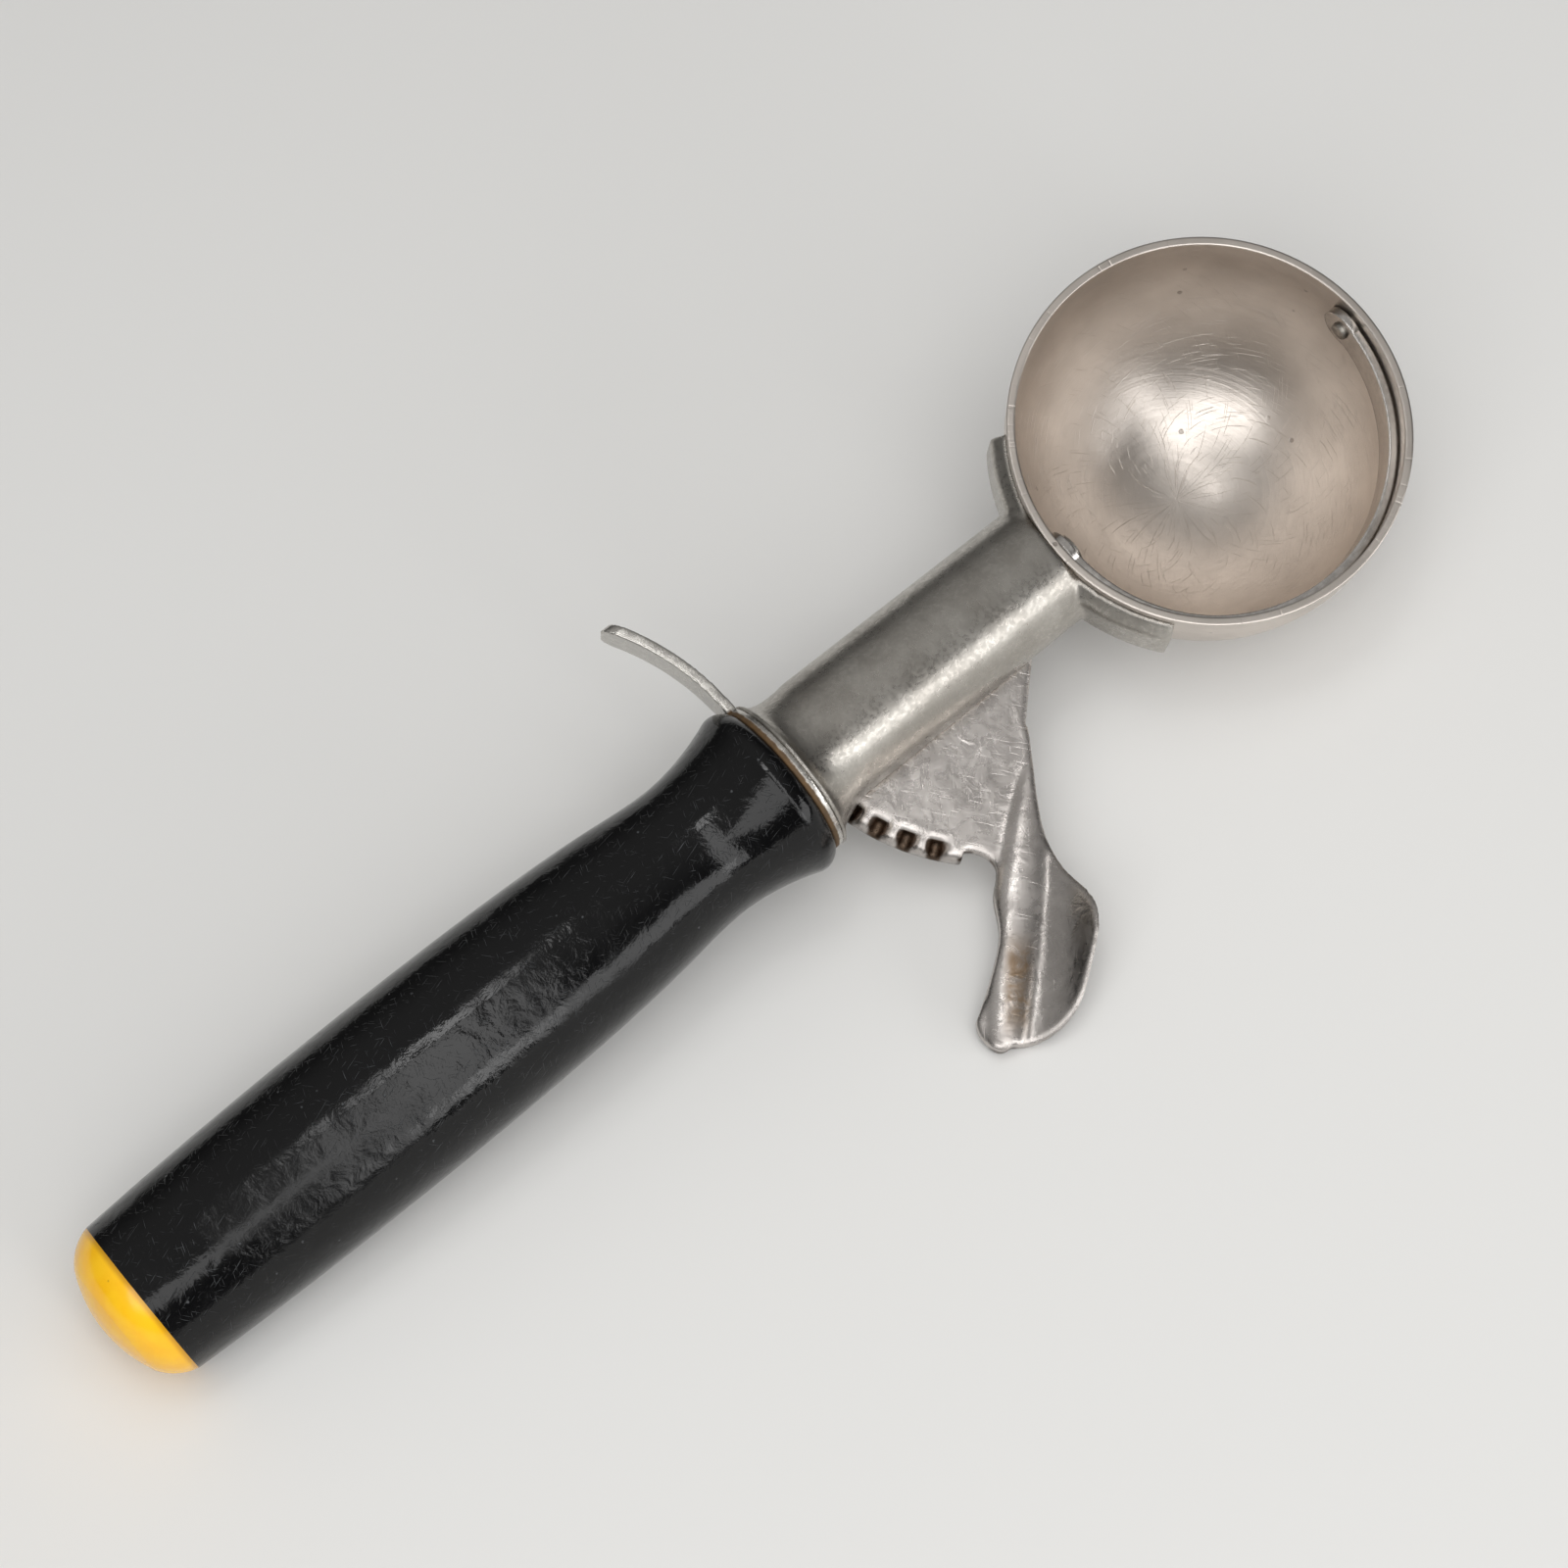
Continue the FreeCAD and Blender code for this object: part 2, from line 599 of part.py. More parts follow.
def beside_eye(forward, aside):
    """A point in shares of the eye's radius, so that the stop pin keeps its gap whatever the reach."""
    return V(place("pivot_x") + forward * size("eye_radius"), aside * size("eye_radius"), 0)


CREASE_START = from_pivot(-0.0935, -0.2447)
CREASE_END = from_pivot(-0.6084, -0.7937)
NECK_END = from_pivot(-0.6271, -0.6951)
EYE_SIDE = [beside_eye(0.865, -0.541), beside_eye(0.189, -1.068), from_pivot(-0.0323, -0.1869),
            CREASE_START]
TIP = [CREASE_END, from_pivot(-0.6390, -0.7920), from_pivot(-0.6543, -0.7580), NECK_END]
GRIP_SIDE = [NECK_END, from_pivot(-0.5320, -0.6356), from_pivot(-0.4521, -0.5642),
             from_pivot(-0.4113, -0.4997), from_pivot(-0.3671, -0.4555), from_pivot(-0.3739, -0.4096),
             from_pivot(-0.4181, -0.3739)]
# The flange's edge, in shares of the crease's length: how far along the crease, and how far out from it
FLANGE_EDGE = [(0.000, 0.007), (0.181, 0.036), (0.348, 0.075), (0.467, 0.145),
               (0.551, 0.214), (0.643, 0.233), (0.770, 0.217), (0.905, 0.178),
               (0.980, 0.102), (1.009, 0.007)]


def pivot_point(z):
    return V(place("pivot_x"), 0, z)


def tooth_pitch_angle():
    return 360.0 / size("sector_teeth")


def sector_start():
    """Where the toothed rim begins, in degrees round the pivot; the mesh is at 180."""
    return 180.0 - size("sector_lead") * tooth_pitch_angle()


def sector_end():
    return 180.0 + size("sector_tail") * tooth_pitch_angle()


def toothed_rim():
    outer = place("rim_outer")
    inner = place("rim_inner")
    top = place("plate_top")
    bottom = top - size("rim_depth")
    chamfer = size("rim_chamfer")
    outline = [V(inner, 0, top), V(outer - chamfer, 0, top), V(outer, 0, top - chamfer),
               V(outer, 0, bottom), V(inner + chamfer, 0, bottom), V(inner, 0, place("plate_bottom"))]
    face = Part.Face(Part.makePolygon(outline + outline[:1]))
    rim = face.revolve(V(0, 0, 0), Z_AXIS, sector_end() - sector_start())
    rim.rotate(V(0, 0, 0), Z_AXIS, sector_start())
    rim.translate(V(place("pivot_x"), 0, 0))
    return rim


# The share of the dedendum at which a straight flank meets the rounded bottom of its gap
FLANK_END = 0.7


def tooth_gap():
    """The space between two teeth of the rim, drawn where the pinion meshes."""
    half_pitch = math.pi * size("tooth_module") / 4 + size("backlash") / 4
    slope = math.tan(math.radians(size("pressure_angle")))
    mesh = place("mesh_z")
    depth = size("dedendum")
    above = size("addendum") + size("gap_relief")
    x = place("pivot_x") - place("rim_outer") - size("gap_relief")
    wide = half_pitch + above * slope
    narrow = half_pitch - depth * FLANK_END * slope
    corner = V(x, narrow, mesh - depth * FLANK_END)
    other = V(x, -narrow, mesh - depth * FLANK_END)
    wire = Part.Wire([
        line(V(x, wide, mesh + above), corner),
        arc(corner, V(x, 0, mesh - depth), other),
        line(other, V(x, -wide, mesh + above)),
        line(V(x, -wide, mesh + above), V(x, wide, mesh + above))])
    length = size("pinion_width") + 2 * size("gap_relief")
    return Part.Face(wire).extrude(V(length, 0, 0))


def eye_back():
    return V(place("pivot_x") - size("eye_radius"), 0, 0)


def arm_outline():
    wire = Part.Wire([
        spline(EYE_SIDE),
        line(CREASE_START, CREASE_END),
        spline(TIP),
        spline(GRIP_SIDE),
        line(GRIP_SIDE[-1], eye_back()),
        line(eye_back(), EYE_SIDE[0])])
    return Part.Face(wire)


def lever_plate():
    hub = Part.makeCylinder(size("eye_radius"), size("plate_thickness"), pivot_point(place("plate_bottom")))
    fan = Part.makeCylinder(place("rim_inner") + size("rim_chamfer") / 2, size("plate_thickness"),
                            pivot_point(place("plate_bottom")), Z_AXIS, sector_end() - sector_start())
    fan.rotate(pivot_point(0), Z_AXIS, sector_start())
    arm = arm_outline().extrude(V(0, 0, size("plate_thickness")))
    arm.translate(V(0, 0, place("plate_bottom")))
    return hub.fuse([fan, arm])


# Where the ridge's middle lies, as a share of the crease's length
RIDGE_MIDDLE = 0.66


def arm_ridge():
    """A long low swelling over the crease, from the plate to the tip, that leans towards the grip."""
    skew = FreeCAD.Rotation(Z_AXIS, -size("ridge_skew"))
    along = skew.multVec((CREASE_END - CREASE_START).normalize())
    outward = V(-along.y, along.x, 0)
    middle = CREASE_START * (1 - RIDGE_MIDDLE) + CREASE_END * RIDGE_MIDDLE
    frame = FreeCAD.Placement(V(middle.x, middle.y, place("plate_top")),
                              FreeCAD.Rotation(along, outward, Z_AXIS))
    stretch = FreeCAD.Matrix()
    stretch.scale(size("ridge_half_length"), size("ridge_half_width"), size("ridge_height"))
    swelling = Part.makeSphere(1).transformGeometry(frame.toMatrix() * stretch)
    over_arm = arm_outline().extrude(V(0, 0, 2 * size("ridge_height")))
    over_arm.translate(V(0, 0, place("plate_top") - size("ridge_height") / 2))
    return swelling.common(over_arm.fuse(flange_space()))


# How far the flange's outline reaches back over the arm, at the tip and at the other end of the crease
TIP_OVERLAP = 0.7
ROOT_OVERLAP = 1.3


def flange_space():
    """The flange's outline, drawn upright through everything."""
    along = (CREASE_END - CREASE_START).normalize()
    crease = (CREASE_END - CREASE_START).Length
    outward = V(-along.y, along.x, 0)
    edge = [CREASE_START + (along * far + outward * out) * crease for far, out in FLANGE_EDGE]
    inner_end = edge[-1] - outward * TIP_OVERLAP
    inner_start = edge[0] - outward * ROOT_OVERLAP
    outline = Part.Wire([spline(edge), line(edge[-1], inner_end), line(inner_end, inner_start),
                         line(inner_start, edge[0])])
    prism = Part.Face(outline).extrude(V(0, 0, 4 * size("arm_top_radius")))
    prism.translate(V(0, 0, place("plate_top") - 2 * size("arm_top_radius")))
    return prism


def thumb_flange():
    """A sheet bent about a line above the crease, trimmed to the flange's outline."""
    along = (CREASE_END - CREASE_START).normalize()
    overrun = size("plate_thickness")
    crease = (CREASE_END - CREASE_START).Length
    outward = V(-along.y, along.x, 0)
    top = place("plate_top")
    upper = size("arm_top_radius")
    thick = size("plate_thickness")
    thin = size("flange_edge")
    bend = math.radians(size("flange_bend"))
    offset = (thick - thin) / (1 - math.cos(bend))
    lower = upper + thick - offset

    def section(centre_height, radius, angle):
        return (CREASE_START - along * overrun + outward * (radius * math.sin(angle))
                + V(0, 0, top + centre_height - radius * math.cos(angle)))

    edges = [
        arc(section(upper, upper, 0), section(upper, upper, bend / 2), section(upper, upper, bend)),
        line(section(upper, upper, bend), section(upper - offset, lower, bend)),
        arc(section(upper - offset, lower, bend), section(upper - offset, lower, bend / 2),
            section(upper - offset, lower, 0)),
        line(section(upper - offset, lower, 0), section(upper, upper, 0))]
    sheet = Part.Face(Part.Wire(edges)).extrude(along * (crease + 2 * overrun))
    return sheet.common(flange_space())


def make_lever():
    blank = lever_plate().fuse([toothed_rim(), thumb_flange()]).removeSplitter()
    blank = blank.fuse(arm_ridge()).removeSplitter()
    gaps = []
    for step in range(-1, 6):
        gap = tooth_gap()
        gap.rotate(pivot_point(0), Z_AXIS, step * tooth_pitch_angle())
        gaps.append(gap)
    hole = Part.makeCylinder(size("shoulder_radius") + size("running_gap"), 4 * size("plate_thickness"),
                             pivot_point(place("plate_bottom") - size("plate_thickness")))
    return solid("lever", blank.cut(gaps + [hole]))


# Return spring: turns about the axle, with one leg in the bridge and one in the pinion's hub
def biarc(start, start_tangent, end, end_tangent):
    """Two arcs that join two points and keep both tangents."""
    span = end - start
    both = start_tangent + end_tangent
    a = both.dot(both) - 4
    b = 2 * span.dot(both)
    c = -span.dot(span)
    # the handles' length solves  span.span - 2 d span.(t0 + t1) + d^2 (|t0 + t1|^2 - 4) = 0
    d = (b - math.sqrt(b * b + 4 * a * c)) / (2 * a)
    first = start + start_tangent * d
    second = end - end_tangent * d
    joint = (first + second) * 0.5
    return [half_arc(start, first, joint), half_arc(joint, second, end)]


def half_arc(start, corner, end):
    """The arc tangent to both legs of an isosceles corner."""
    chord_middle = (start + end) * 0.5
    rise = corner - chord_middle
    half_chord = (end - start).Length / 2
    leg = (corner - start).Length
    sagitta = half_chord * rise.Length / (leg + half_chord)
    return arc(start, chord_middle + rise.normalize() * sagitta, end)


def make_spring():
    back = place("coil_back")
    front = place("coil_front")
    radius = size("coil_radius")
    turns = int(size("coil_turns"))
    steps = turns * 4
    pitch = (front - back) / turns
    centre = place("axis_z")
    slope = pitch / (2 * math.pi)

    def point(step):
        angle = step * math.pi / 2
        return V(back + pitch * step / 4, radius * math.cos(angle), centre + radius * math.sin(angle))

    def tangent(step):
        angle = step * math.pi / 2
        return V(slope, -radius * math.sin(angle), radius * math.cos(angle)).normalize()

    edges = []
    for step in range(steps):
        edges += biarc(point(step), tangent(step), point(step + 1), tangent(step + 1))
    path = Part.Wire(edges)
    ring = Part.Wire(Part.makeCircle(size("wire_radius"), point(0), tangent(0)))
    coil = path.makePipeShell([ring], True, False)
    reach = size("coil_standoff") + size("leg_depth") + size("wire_radius")
    back_end = point(0) + V(size("wire_radius"), 0, 0)
    front_end = point(steps) - V(size("wire_radius"), 0, 0)
    back_leg = Part.makeCylinder(size("wire_radius"), reach, back_end, -X_AXIS)
    front_leg = Part.makeCylinder(size("wire_radius"), reach + 1.5, front_end, X_AXIS)
    return solid("return_spring", coil.fuse([back_leg, front_leg]).removeSplitter())


# Finger rest: a ring held between the collar and the handle, with a curved tongue
def make_finger_rest():
    ring = rod("rest_ring", "Sizes.rest_ring_radius", "Sizes.rest_thickness", x="Places.grip_front",
               z="Places.axis_z")
    bend_centre = "Places.grip_front + Sizes.rest_thickness / 2 - Sizes.rest_bend_radius"
    root = "Sizes.collar_radius"
    foot = block("tongue_foot", "Sizes.rest_thickness", "Sizes.collar_radius / 3", "Sizes.rest_width",
                 "Places.grip_front", "Sizes.collar_radius * 2 / 3",
                 "Places.axis_z - Sizes.rest_width / 2")
    outer = rod("tongue_outer", "Sizes.rest_bend_radius + Sizes.rest_thickness / 2", "Sizes.rest_width",
                x=bend_centre, y=root, z="Places.axis_z - Sizes.rest_width / 2", rotation=ALONG_Z)
    outer.Angle = 80
    inner = rod("tongue_inner", "Sizes.rest_bend_radius - Sizes.rest_thickness / 2", "Sizes.rest_width",
                x=bend_centre, y=root, z="Places.axis_z - Sizes.rest_width / 2", rotation=ALONG_Z)
    strip = cut("tongue_strip", outer, inner)
    depth = "Sizes.rest_bend_radius"
    back = "Places.collar_back - Sizes.rest_bend_radius"
    low = "Places.axis_z - Sizes.rest_width / 2"
    corner_y = "Sizes.rest_reach - Sizes.rest_corner"
    corner_z = "(Sizes.rest_width / 2 - Sizes.rest_corner)"
    trim = fuse(
        "tongue_trim",
        block("tongue_trim_long", depth, corner_y, "Sizes.rest_width", back, "0", low),
        block("tongue_trim_tip", depth, "Sizes.rest_reach", "2 * " + corner_z, back, "0",
              "Places.axis_z - " + corner_z),
        rod("tongue_trim_corner_top", "Sizes.rest_corner", depth, x=back, y=corner_y,
            z="Places.axis_z + " + corner_z),
        rod("tongue_trim_corner_low", "Sizes.rest_corner", depth, x=back, y=corner_y,
            z="Places.axis_z - " + corner_z))
    tongue = common("tongue", strip, trim)
    hole = rod("rest_hole", "Sizes.spigot_radius", "3 * Sizes.rest_thickness",
               x="Places.grip_front - Sizes.rest_thickness", z="Places.axis_z")
    return cut("finger_rest", fuse("rest_blank", ring, foot, tongue), hole)


# Handle: turned barrel with a neck and a bell in front of it
def grip_point(back, radius):
    return V(place("grip_front") - size(back), 0, place("axis_z") + size(radius))


def grip_blank():
    axis = place("axis_z")
    front = place("grip_front")
    back = place("grip_back")
    bell = grip_point("bell_back", "grip_bell_radius")
    rear = grip_point("grip_length", "grip_end_radius")
    side = [
        bell,
        grip_point("throat_back", "grip_throat_radius"),
        grip_point("neck_back", "grip_neck_radius"),
        grip_point("rise_back", "grip_rise_radius"),
        grip_point("shoulder_back", "grip_shoulder_radius"),
        grip_point("belly_back", "grip_belly_radius"),
        grip_point("waist_back", "grip_waist_radius"),
        rear]
    face_top = V(front, 0, axis + size("grip_front_radius"))
    round_over = V(front - 0.25 * size("bell_back"), 0, axis + size("grip_bell_radius") - 0.45)
    edges = [
        line(V(front, 0, axis), face_top),
        arc(face_top, round_over, bell),
        spline(side),
        line(rear, V(back, 0, axis)),
        line(V(back, 0, axis), V(front, 0, axis))]
    return turned(edges, axis)


def make_grip():
    blank = solid("grip_blank", grip_blank())
    rod_bore = rod("grip_rod_bore", "Sizes.rod_radius + Sizes.passage_gap", "Sizes.grip_length",
                   x="Places.grip_back", z="Places.axis_z")
    front_bore = rod("grip_front_bore", "Sizes.spigot_radius", "Sizes.spigot_length",
                     x="Places.spigot_back", z="Places.axis_z")
    end_bore = rod("grip_end_bore", "Sizes.end_bore_radius", "Sizes.end_bore_depth",
                   x="Places.grip_back", z="Places.axis_z")
    return cut("handle_grip", blank, rod_bore, front_bore, end_bore)


def cap_blank():
    axis = place("axis_z")
    back = place("grip_back")
    tip = V(back - size("cap_length"), 0, axis)
    edge = V(back, 0, axis + size("grip_end_radius"))
    # a rounded corner, then a flat dome whose centre is on the handle's axis
    height = 0.72 * size("grip_end_radius")
    drop = 0.30 * size("cap_length")
    dome_radius = (height ** 2 + drop ** 2) / (2 * drop)
    half_angle = math.asin(height / dome_radius) / 2
    shoulder = V(tip.x + drop, 0, axis + height)
    round_point = V(back - 0.36 * size("cap_length"), 0, axis + 0.915 * size("grip_end_radius"))
    crown_point = V(tip.x + dome_radius * (1 - math.cos(half_angle)), 0,
                    axis + dome_radius * math.sin(half_angle))
    edges = [
        arc(edge, round_point, shoulder),
        arc(shoulder, crown_point, tip),
        line(tip, V(back, 0, axis)),
        line(V(back, 0, axis), edge)]
    return turned(edges, axis)


def make_cap():
    dome = solid("cap_dome", cap_blank())
    plug = rod("cap_plug", "Sizes.end_bore_radius", "Sizes.cap_plug_length", x="Places.grip_back",
               z="Places.axis_z")
    return fuse("end_cap", dome, plug)


def make_rod():
    return rod("tang_rod", "Sizes.rod_radius", "Places.rod_front - Places.rod_back",
               x="Places.rod_back", z="Places.axis_z")


def make_nut():
    hexagon = bind(doc.addObject("Part::Prism", "nut_hexagon"), Circumradius="Sizes.nut_radius",
                   Height="Sizes.nut_height")
    hexagon.Polygon = 6
    put(hexagon, ALONG_X, x="Places.nut_front - Sizes.nut_height", z="Places.axis_z")
    bore = rod("nut_bore", "Sizes.rod_radius", "Sizes.nut_height", x="Places.nut_front - Sizes.nut_height",
               z="Places.axis_z")
    return cut("rod_nut", hexagon, bore)


def make_rod_washer():
    disc = rod("rod_washer_disc", "Sizes.rod_washer_radius", "Sizes.rod_washer_thickness",
               x="Places.nut_front", z="Places.axis_z")
    hole = rod("rod_washer_hole", "Sizes.rod_radius + Sizes.running_gap", "Sizes.rod_washer_thickness",
               x="Places.nut_front", z="Places.axis_z")
    return cut("rod_washer", disc, hole)


PIECES = {
    "bowl": make_bowl(),
    "far_pivot_pin": make_far_pin(),
    "shank": make_shank(),
    "front_bush": make_bush("front_bush", "Places.web_back", "Sizes.front_bush_length"),
    "rear_bush": make_bush("rear_bush", "Places.bush_seat_back", "Sizes.rear_bush_length"),
    "stop_pin": make_stop_pin(),
    "scraper_blade": make_blade(),
    "axle": make_axle(),
    "pinion": make_pinion(),
    "pinion_pin": make_cross_pin(),
    "return_spring": make_spring(),
    "lever": make_lever(),
    "thrust_washer": make_washer("thrust_washer", "Sizes.bridge_radius",
                                 "Sizes.shoulder_radius + Sizes.running_gap",
                                 "Sizes.thrust_washer_thickness", "Places.plate_top + Sizes.running_gap"),
    "head_washer": make_washer("head_washer", "Sizes.head_washer_radius",
                               "Sizes.shoulder_radius + Sizes.running_gap",
                               "Sizes.head_washer_thickness", "Places.screw_head_top"),
    "pivot_screw": make_pivot_screw(),
    "finger_rest": make_finger_rest(),
    "handle_grip": make_grip(),
    "tang_rod": make_rod(),
    "rod_washer": make_rod_washer(),
    "rod_nut": make_nut(),
    "end_cap": make_cap(),
}

doc.recompute()

for obj in doc.Objects:
    if "Invalid" in obj.State or "Error" in obj.State:
        raise RuntimeError("%s is %s" % (obj.Name, obj.State))

os.makedirs("parts", exist_ok=True)
for name, obj in PIECES.items():
    obj.Label = name
    shape = obj.Shape
    if shape.isNull() or not shape.isValid() or not shape.Solids:
        raise RuntimeError("%s has no valid solid" % name)
    box = shape.BoundBox
    print("%-16s solids %d volume %9.2f  x %.2f %.2f  y %.2f %.2f  z %.2f %.2f" % (
        name, len(shape.Solids), shape.Volume, box.XMin, box.XMax, box.YMin, box.YMax, box.ZMin, box.ZMax))
for name, obj in PIECES.items():
    obj.Shape.exportStep("parts/%s.step" % name)
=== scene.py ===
"""Looks of the thumb-lever ice cream scoop: worn plated metal, scratched black handle and yellow cap."""
import json
import math

import bpy
from mathutils import Matrix, Vector

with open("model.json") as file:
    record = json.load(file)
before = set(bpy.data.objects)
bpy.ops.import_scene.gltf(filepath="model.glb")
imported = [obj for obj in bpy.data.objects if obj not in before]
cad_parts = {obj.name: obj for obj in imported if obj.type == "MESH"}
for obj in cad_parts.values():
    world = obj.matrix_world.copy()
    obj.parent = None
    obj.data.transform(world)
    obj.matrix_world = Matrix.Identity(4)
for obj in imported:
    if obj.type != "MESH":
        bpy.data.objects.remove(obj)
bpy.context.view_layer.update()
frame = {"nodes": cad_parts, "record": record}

MM = 0.001
NODES = frame["nodes"]

# The handle's axis, and the plane the scoop lies on: bowl, handle end and lever tip touch it
AXIS_Z = -4.6
FLOOR_NORMAL = Vector((0.0880, 0.3051, 0.9482)).normalized()

# Radii, in mm, at which the scratches of the handle and of the bowl are drawn at their true size
HANDLE_RADIUS = 12.0
BOWL_RADIUS = 20.0

# The lever: its pivot, the teeth in a full turn of its rim, the radius where the teeth begin,
# and the level below which the rim's painted shade and dirt lie
PIVOT_X = -39.4
SECTOR_TEETH = 49
TEETH_START = 31.0
SHADE_AND_DIRT_LEVEL = -9.75

# The crease beside the lever's flange: where it starts, and the turn that lays it along X.
# The thumb's wear is round a place along it.
CREASE_START = (-44.9, -14.4, 0)
CREASE_TURN = math.radians(133.16)
THUMB_ALONG = 36.5
THUMB_OUT = 0.3

# The finger rest's ring lies inside this radius and ahead of this place, and the cap's seam is here
RING_RADIUS = 11.2
RING_X = -75.9
SEAM_X = -185.25

# The photograph's camera: focal length in pixels of a 1600 pixel frame, place in mm, right and up vectors
FOCAL_PIXELS = 3924.4
FRAME_PIXELS = 1600
CAMERA_PLACE = Vector((-174.80, -79.57, 498.43))
CAMERA_RIGHT = Vector((0.763894, -0.643582, 0.047544))
CAMERA_UP = Vector((0.617059, 0.750007, 0.238161))


# A small writer for node materials, with coordinates in millimetres of the row frame
class Shader:
    def __init__(self, name):
        self.material = bpy.data.materials.new(name)
        self.material.use_nodes = True
        self.tree = self.material.node_tree
        self.tree.nodes.clear()
        output = self.tree.nodes.new("ShaderNodeOutputMaterial")
        self.bsdf = self.tree.nodes.new("ShaderNodeBsdfPrincipled")
        self.tree.links.new(self.bsdf.outputs[0], output.inputs["Surface"])
        coords = self.tree.nodes.new("ShaderNodeTexCoord").outputs["Object"]
        self.place = self.mapped(coords, scale=(1000, 1000, 1000))

    def node(self, kind, **values):
        made = self.tree.nodes.new(kind)
        for name, value in values.items():
            setattr(made, name, value)
        return made

    def feed(self, socket, value):
        """A link, a number, or a colour of three parts."""
        if isinstance(value, bpy.types.NodeSocket):
            self.tree.links.new(value, socket)
        elif isinstance(value, tuple):
            socket.default_value = (*value, 1)
        else:
            socket.default_value = value

    def mapped(self, vector, location=(0, 0, 0), rotation=(0, 0, 0), scale=(1, 1, 1)):
        made = self.node("ShaderNodeMapping")
        self.feed(made.inputs["Vector"], vector)
        made.inputs["Location"].default_value = location
        made.inputs["Rotation"].default_value = rotation
        made.inputs["Scale"].default_value = scale
        return made.outputs[0]

    def noise(self, scale, detail=3.0, roughness=0.55, vector=None, distortion=0.0):
        made = self.node("ShaderNodeTexNoise")
        self.feed(made.inputs["Vector"], vector or self.place)
        made.inputs["Scale"].default_value = scale
        made.inputs["Detail"].default_value = detail
        made.inputs["Roughness"].default_value = roughness
        made.inputs["Distortion"].default_value = distortion
        return made.outputs["Fac"]

    def cells(self, scale):
        made = self.node("ShaderNodeTexVoronoi", feature="F1")
        self.feed(made.inputs["Vector"], self.place)
        made.inputs["Scale"].default_value = scale
        made.inputs["Randomness"].default_value = 1.0
        return made.outputs["Distance"]

    def ramp(self, value, low, high, start=0.0, end=1.0):
        made = self.node("ShaderNodeMapRange")
        made.interpolation_type = "SMOOTHSTEP"
        self.feed(made.inputs["Value"], value)
        made.inputs["From Min"].default_value = low
        made.inputs["From Max"].default_value = high
        made.inputs["To Min"].default_value = start
        made.inputs["To Max"].default_value = end
        return made.outputs[0]

    def math(self, operation, a, b=0.0, c=0.0):
        made = self.node("ShaderNodeMath", operation=operation)
        self.feed(made.inputs[0], a)
        self.feed(made.inputs[1], b)
        self.feed(made.inputs[2], c)
        return made.outputs[0]

    def times(self, a, b):
        return self.math("MULTIPLY", a, b)

    def plus(self, a, b):
        return self.math("ADD", a, b)

    def either(self, a, b):
        return self.math("MAXIMUM", a, b)

    def mix(self, factor, a, b):
        made = self.node("ShaderNodeMix", data_type="RGBA")
        self.feed(made.inputs["Factor"], factor)
        self.feed(made.inputs["A"], a)
        self.feed(made.inputs["B"], b)
        return made.outputs["Result"]

    def split(self, vector=None):
        made = self.node("ShaderNodeSeparateXYZ")
        self.feed(made.inputs[0], vector or self.place)
        return made.outputs

    def streaks(self, vector, angle, length, width, low, high):
        """Short straight scratches in a flat pair of coordinates: a noise drawn out along one direction."""
        turned = self.mapped(vector, rotation=(0, 0, angle))
        drawn = self.mapped(turned, scale=(1 / length, 1 / width, 1))
        return self.ramp(self.noise(1.0, 1.0, 0.4, drawn), low, high)

    def from_axis(self):
        """The place with its height measured from the handle's axis."""
        return self.split(self.mapped(self.place, location=(0, 0, -AXIS_Z)))

    def around_handle(self):
        """Flat coordinates on the handle: along it, and round it."""
        x, y, z = self.from_axis()
        return self.combine(x, self.times(self.math("ARCTAN2", z, y), HANDLE_RADIUS))

    def around_bowl(self):
        """Flat coordinates in the bowl: round its upright axis, and up from the handle's axis."""
        x, y, z = self.from_axis()
        return self.combine(self.times(self.math("ARCTAN2", y, x), BOWL_RADIUS), z)

    def along_crease(self):
        """Flat coordinates on the lever: along its crease from the eye's end, and out over the flange."""
        moved = self.mapped(self.place, location=[-part for part in CREASE_START])
        return self.split(self.mapped(moved, rotation=(0, 0, CREASE_TURN)))[:2]

    def close_to(self, value, middle, inner, outer):
        """1 where a value lies within inner of the middle, 0 beyond outer."""
        distance = self.math("ABSOLUTE", self.math("SUBTRACT", value, middle))
        return self.ramp(distance, inner, outer, 1.0, 0.0)

    def combine(self, x, y, z=0.0):
        made = self.node("ShaderNodeCombineXYZ")
        for socket, value in zip(made.inputs, (x, y, z)):
            self.feed(socket, value)
        return made.outputs[0]

    def bump(self, height, distance, strength=1.0, normal=None):
        made = self.node("ShaderNodeBump")
        made.inputs["Strength"].default_value = strength
        made.inputs["Distance"].default_value = distance * MM
        self.feed(made.inputs["Height"], height)
        if normal is not None:
            self.feed(made.inputs["Normal"], normal)
        return made.outputs[0]

    def rounded(self, radius):
        """The surface's normal with edges rounded off, radius in mm."""
        made = self.node("ShaderNodeBevel", samples=8)
        made.inputs["Radius"].default_value = radius * MM
        return made.outputs[0]

    def finish(self, color, roughness, normal=None, **fixed):
        self.feed(self.bsdf.inputs["Base Color"], color)
        self.feed(self.bsdf.inputs["Roughness"], roughness)
        if normal is not None:
            self.feed(self.bsdf.inputs["Normal"], normal)
        for name, value in fixed.items():
            self.bsdf.inputs[name.replace("_", " ")].default_value = value
        return self.material


